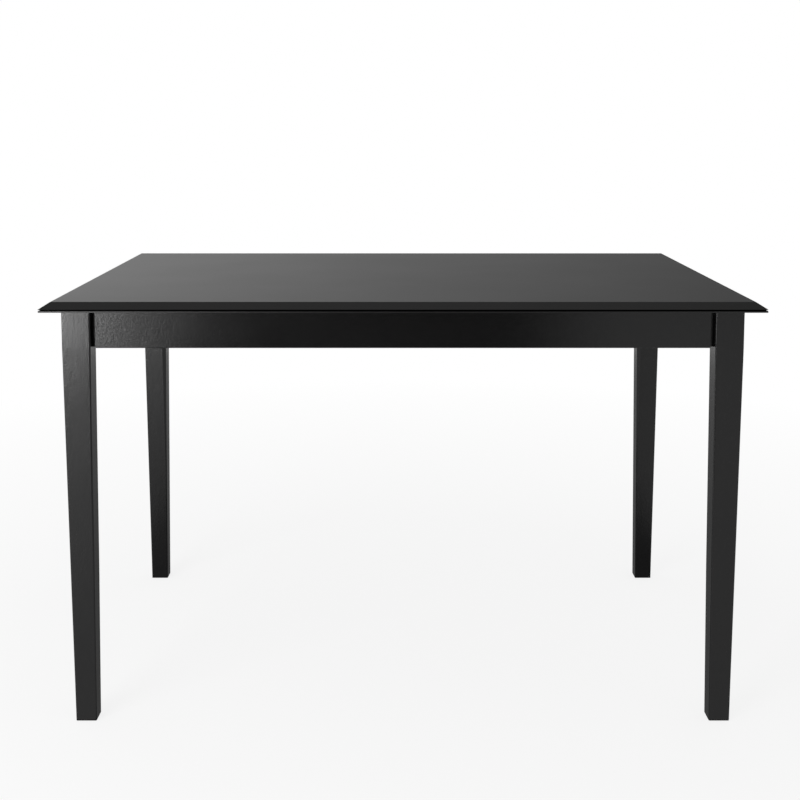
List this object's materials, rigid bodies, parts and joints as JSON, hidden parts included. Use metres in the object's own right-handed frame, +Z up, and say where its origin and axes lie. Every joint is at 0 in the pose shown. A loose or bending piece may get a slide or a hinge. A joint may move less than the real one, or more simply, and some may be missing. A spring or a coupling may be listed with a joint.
{
  "type": "dining table",
  "caption": "Rectangular dining table with a bevelled top, shallow aprons and square tapered legs bolted to corner blocks, in black satin lacquer.",
  "frame": {"origin": "on the floor, under the middle of the table", "axes": "+X along the table's length, +Z up, the side seen in the picture at -Y"},
  "size_m": [1.219, 0.813, 0.746],
  "materials": {
    "lacquered_top": "satin black lacquer",
    "lacquered_apron": "satin black lacquer",
    "lacquered_leg": "satin black lacquer",
    "raw_block": "planed hardwood, no finish",
    "raw_rail": "planed softwood, no finish",
    "zinc_steel": "bright zinc plate",
    "screw_steel": "yellow zinc plate",
    "nylon": "black nylon"
  },
  "bodies": {
    "root": {"back_apron": "lacquered_apron", "back_rail_bracket": "zinc_steel", "centre_rail": "raw_rail", "corner_block_back_left": "raw_block", "corner_block_back_right": "raw_block", "corner_block_front_left": "raw_block", "corner_block_front_right": "raw_block", "corner_block_screws": "screw_steel", "fixing_block_back_left": "raw_block", "fixing_block_back_right": "raw_block", "fixing_block_front_left": "raw_block", "fixing_block_front_right": "raw_block", "fixing_block_left": "raw_block", "fixing_block_right": "raw_block", "fixing_block_screws": "screw_steel", "flat_washers": "zinc_steel", "foot_glide_back_left": "nylon", "foot_glide_back_right": "nylon", "foot_glide_front_left": "nylon", "foot_glide_front_right": "nylon", "front_apron": "lacquered_apron", "front_rail_bracket": "zinc_steel", "glide_nails": "screw_steel", "hanger_bolts": "zinc_steel", "hex_nuts": "zinc_steel", "left_apron": "lacquered_apron", "leg_back_left": "lacquered_leg", "leg_back_right": "lacquered_leg", "leg_front_left": "lacquered_leg", "leg_front_right": "lacquered_leg", "rail_bracket_screws": "screw_steel", "right_apron": "lacquered_apron", "spring_washers": "zinc_steel", "tabletop": "lacquered_top", "top_screws": "screw_steel"}
  },
  "joints": []
}
